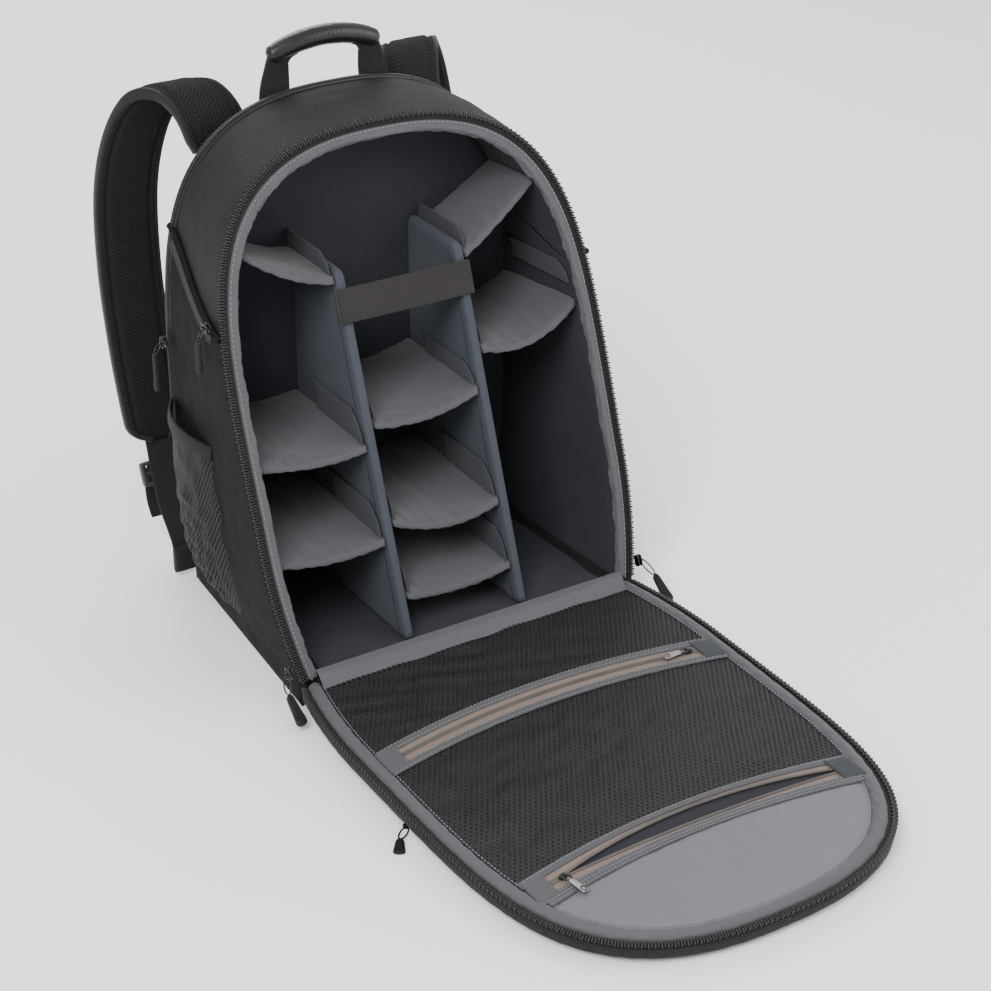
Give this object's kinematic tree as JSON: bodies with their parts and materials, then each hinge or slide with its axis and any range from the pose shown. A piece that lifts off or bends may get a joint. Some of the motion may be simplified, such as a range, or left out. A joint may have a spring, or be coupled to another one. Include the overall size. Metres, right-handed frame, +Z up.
{
  "type": "drone carrying case",
  "caption": "Padded camera and drone backpack standing open, with a fold-down zipped front flap, padded divider cells, mesh pockets, shoulder straps and a carry handle.",
  "frame": {"origin": "centre of the pack's flat base, where it stands on the floor", "axes": "+Z up, -Y towards the open front flap, +X to the right as seen from the front"},
  "size_m": [0.3467, 0.6935, 0.4394],
  "materials": {
    "coarse_nylon": "coarse ballistic weave",
    "fine_nylon": "fine weave",
    "lining_nylon": "smooth grey weave",
    "velour": "brushed loop",
    "satin_nylon": "light grey satin",
    "mesh": "open mesh",
    "air_mesh": "padded air mesh",
    "elastic": "ribbed elastic",
    "webbing": "ribbed webbing",
    "coil_tape": "woven coil tape",
    "zip_teeth": "moulded teeth",
    "leather": "smooth wrap",
    "buckle": "satin",
    "slider_metal": "black nickel",
    "rubber_pull": "moulded rubber",
    "grey_pull": "gunmetal"
  },
  "bodies": {
    "pack": {"base_panel": "coarse_nylon", "left_side_wall": "fine_nylon", "right_side_wall": "fine_nylon", "top_wall": "coarse_nylon", "rear_partition": "velour", "back_panel": "air_mesh", "body_zip_track": "zip_teeth", "opening_binding": "lining_nylon", "laptop_zip_track": "zip_teeth", "side_zip_track": "zip_teeth", "left_mesh_pocket": "mesh", "right_mesh_pocket": "mesh", "pocket_bindings": "elastic", "strap_anchors": "webbing"},
    "flap": {"flap_board": "coarse_nylon", "flap_lining": "lining_nylon", "flap_piping": "lining_nylon", "flap_zip_track": "zip_teeth", "hinge_gusset": "lining_nylon", "hinge_mesh_pocket": "mesh", "middle_mesh_pocket": "mesh", "end_panel": "satin_nylon", "zip_band_1": "coil_tape", "zip_band_2": "coil_tape", "front_pocket": "coarse_nylon", "front_pocket_zip": "zip_teeth"},
    "divider_insert": {"long_divider_left": "velour", "long_divider_right": "velour"},
    "lens_strap": {"lens_strap": "webbing"},
    "short_divider_left_1": {"short_divider_left_1": "lining_nylon"},
    "short_divider_left_2": {"short_divider_left_2": "lining_nylon"},
    "short_divider_left_3": {"short_divider_left_3": "lining_nylon"},
    "short_divider_middle_1": {"short_divider_middle_1": "lining_nylon"},
    "short_divider_middle_2": {"short_divider_middle_2": "lining_nylon"},
    "short_divider_middle_3": {"short_divider_middle_3": "lining_nylon"},
    "short_divider_right_1": {"short_divider_right_1": "lining_nylon"},
    "short_divider_right_2": {"short_divider_right_2": "lining_nylon"},
    "handle": {"handle_webbing": "webbing", "handle_grip": "leather"},
    "left_shoulder_strap": {"left_strap_pad": "air_mesh", "left_strap_webbing": "webbing", "left_ladder_lock": "buckle"},
    "right_shoulder_strap": {"right_strap_pad": "air_mesh", "right_strap_webbing": "webbing", "right_ladder_lock": "buckle"},
    "left_main_slider": {"left_main_slider": "slider_metal"},
    "left_main_pull": {"left_main_pull": "rubber_pull"},
    "right_main_slider": {"right_main_slider": "slider_metal"},
    "right_main_pull": {"right_main_pull": "rubber_pull"},
    "laptop_slider": {"laptop_slider": "slider_metal"},
    "laptop_pull": {"laptop_pull": "rubber_pull"},
    "side_slider": {"side_slider": "slider_metal"},
    "side_pull": {"side_pull": "rubber_pull"},
    "pocket_1_slider": {"pocket_1_slider": "slider_metal"},
    "pocket_1_pull": {"pocket_1_pull": "grey_pull"},
    "pocket_2_slider": {"pocket_2_slider": "slider_metal"},
    "pocket_2_pull": {"pocket_2_pull": "grey_pull"},
    "front_pocket_slider": {"front_pocket_slider": "slider_metal"},
    "front_pocket_pull": {"front_pocket_pull": "rubber_pull"}
  },
  "joints": [
    {"name": "flap_fold", "type": "hinge", "parent": "pack", "child": "flap", "pos_m": [0, -0.1075, 0.022], "axis": [1, 0, 0], "range_deg": [-110, 0]},
    {"name": "divider_insert_out", "type": "slide", "parent": "pack", "child": "divider_insert", "axis": [0, -1, 0], "range_m": [0, 0.2]},
    {"name": "lens_strap_peel", "type": "hinge", "parent": "divider_insert", "child": "lens_strap", "pos_m": [-0.056, -0.01183, 0.26599], "axis": [0, -0.342, -0.9397], "range_deg": [0, 120]},
    {"name": "short_divider_left_1_out", "type": "slide", "parent": "pack", "child": "short_divider_left_1", "axis": [0, -1, 0], "range_m": [0, 0.1]},
    {"name": "short_divider_left_2_out", "type": "slide", "parent": "pack", "child": "short_divider_left_2", "axis": [0, -1, 0], "range_m": [0, 0.15]},
    {"name": "short_divider_left_3_out", "type": "slide", "parent": "pack", "child": "short_divider_left_3", "axis": [0, -1, 0], "range_m": [0, 0.17]},
    {"name": "short_divider_middle_1_out", "type": "slide", "parent": "pack", "child": "short_divider_middle_1", "axis": [0, -1, 0], "range_m": [0, 0.15]},
    {"name": "short_divider_middle_2_out", "type": "slide", "parent": "pack", "child": "short_divider_middle_2", "axis": [0, -1, 0], "range_m": [0, 0.17]},
    {"name": "short_divider_middle_3_out", "type": "slide", "parent": "pack", "child": "short_divider_middle_3", "axis": [0, -1, 0], "range_m": [0, 0.19]},
    {"name": "short_divider_right_1_out", "type": "slide", "parent": "pack", "child": "short_divider_right_1", "axis": [0, -1, 0], "range_m": [0, 0.1]},
    {"name": "short_divider_right_2_out", "type": "slide", "parent": "pack", "child": "short_divider_right_2", "axis": [0, -1, 0], "range_m": [0, 0.13]},
    {"name": "handle_fold", "type": "hinge", "parent": "pack", "child": "handle", "pos_m": [0, 0.1108, 0.37336], "axis": [-1, 0, 0], "range_deg": [0, 80]},
    {"name": "left_strap_swing", "type": "hinge", "parent": "pack", "child": "left_shoulder_strap", "pos_m": [-0.138, 0.112, 0.03], "axis": [0.1724, 0, 0.985], "range_deg": [-18, 18]},
    {"name": "right_strap_swing", "type": "hinge", "parent": "pack", "child": "right_shoulder_strap", "pos_m": [0.138, 0.112, 0.03], "axis": [-0.1724, 0, 0.985], "range_deg": [-18, 18]},
    {"name": "left_main_slider_travel", "type": "slide", "parent": "pack", "child": "left_main_slider", "axis": [-0.1414, 0.3386, 0.9302], "range_m": [0, 0.06]},
    {"name": "left_main_pull_swing", "type": "hinge", "parent": "left_main_slider", "child": "left_main_pull", "pos_m": [-0.1645, -0.11042, 0.02546], "axis": [1, 0, 0], "range_deg": [-100, 8]},
    {"name": "right_main_slider_travel", "type": "slide", "parent": "pack", "child": "right_main_slider", "axis": [0.1414, 0.3386, 0.9302], "range_m": [0, 0.06]},
    {"name": "right_main_pull_swing", "type": "hinge", "parent": "right_main_slider", "child": "right_main_pull", "pos_m": [0.1645, -0.11042, 0.02546], "axis": [1, 0, 0], "range_deg": [-100, 8]},
    {"name": "laptop_slider_travel", "type": "slide", "parent": "pack", "child": "laptop_slider", "axis": [0.0388, 0.0163, 0.9991], "range_m": [0, 0.03]},
    {"name": "laptop_pull_swing", "type": "hinge", "parent": "laptop_slider", "child": "laptop_pull", "pos_m": [-0.16168, 0.09332, 0.21978], "axis": [0, 1, 0], "range_deg": [0, 90]},
    {"name": "side_slider_travel", "type": "slide", "parent": "pack", "child": "side_slider", "axis": [0.1284, 0.9385, 0.3205], "range_m": [0, 0.025]},
    {"name": "side_pull_swing", "type": "hinge", "parent": "side_slider", "child": "side_pull", "pos_m": [-0.16861, -0.00525, 0.27073], "axis": [0, 1, 0], "range_deg": [0, 90]},
    {"name": "pocket_1_slider_travel", "type": "slide", "parent": "flap", "child": "pocket_1_slider", "axis": [0.9787, -0.2052, 0], "range_m": [-0.03, 0]},
    {"name": "pocket_1_pull_lift", "type": "hinge", "parent": "pocket_1_slider", "child": "pocket_1_pull", "pos_m": [0.122, -0.22029, 0.0212], "axis": [0, 1, 0], "range_deg": [0, 150]},
    {"name": "pocket_2_slider_travel", "type": "slide", "parent": "flap", "child": "pocket_2_slider", "axis": [0.9832, 0.1825, 0], "range_m": [0, 0.03]},
    {"name": "pocket_2_pull_lift", "type": "hinge", "parent": "pocket_2_slider", "child": "pocket_2_pull", "pos_m": [-0.108, -0.39552, 0.0212], "axis": [-0.9848, -0.1736, 0], "range_deg": [0, 150]},
    {"name": "front_pocket_slider_travel", "type": "slide", "parent": "flap", "child": "front_pocket_slider", "axis": [1, 0, 0], "range_m": [0, 0.25]},
    {"name": "front_pocket_pull_swing", "type": "hinge", "parent": "front_pocket_slider", "child": "front_pocket_pull", "pos_m": [-0.163, -0.2785, 0.0008], "axis": [0, 0, 1], "range_deg": [-50, 20]}
  ]
}
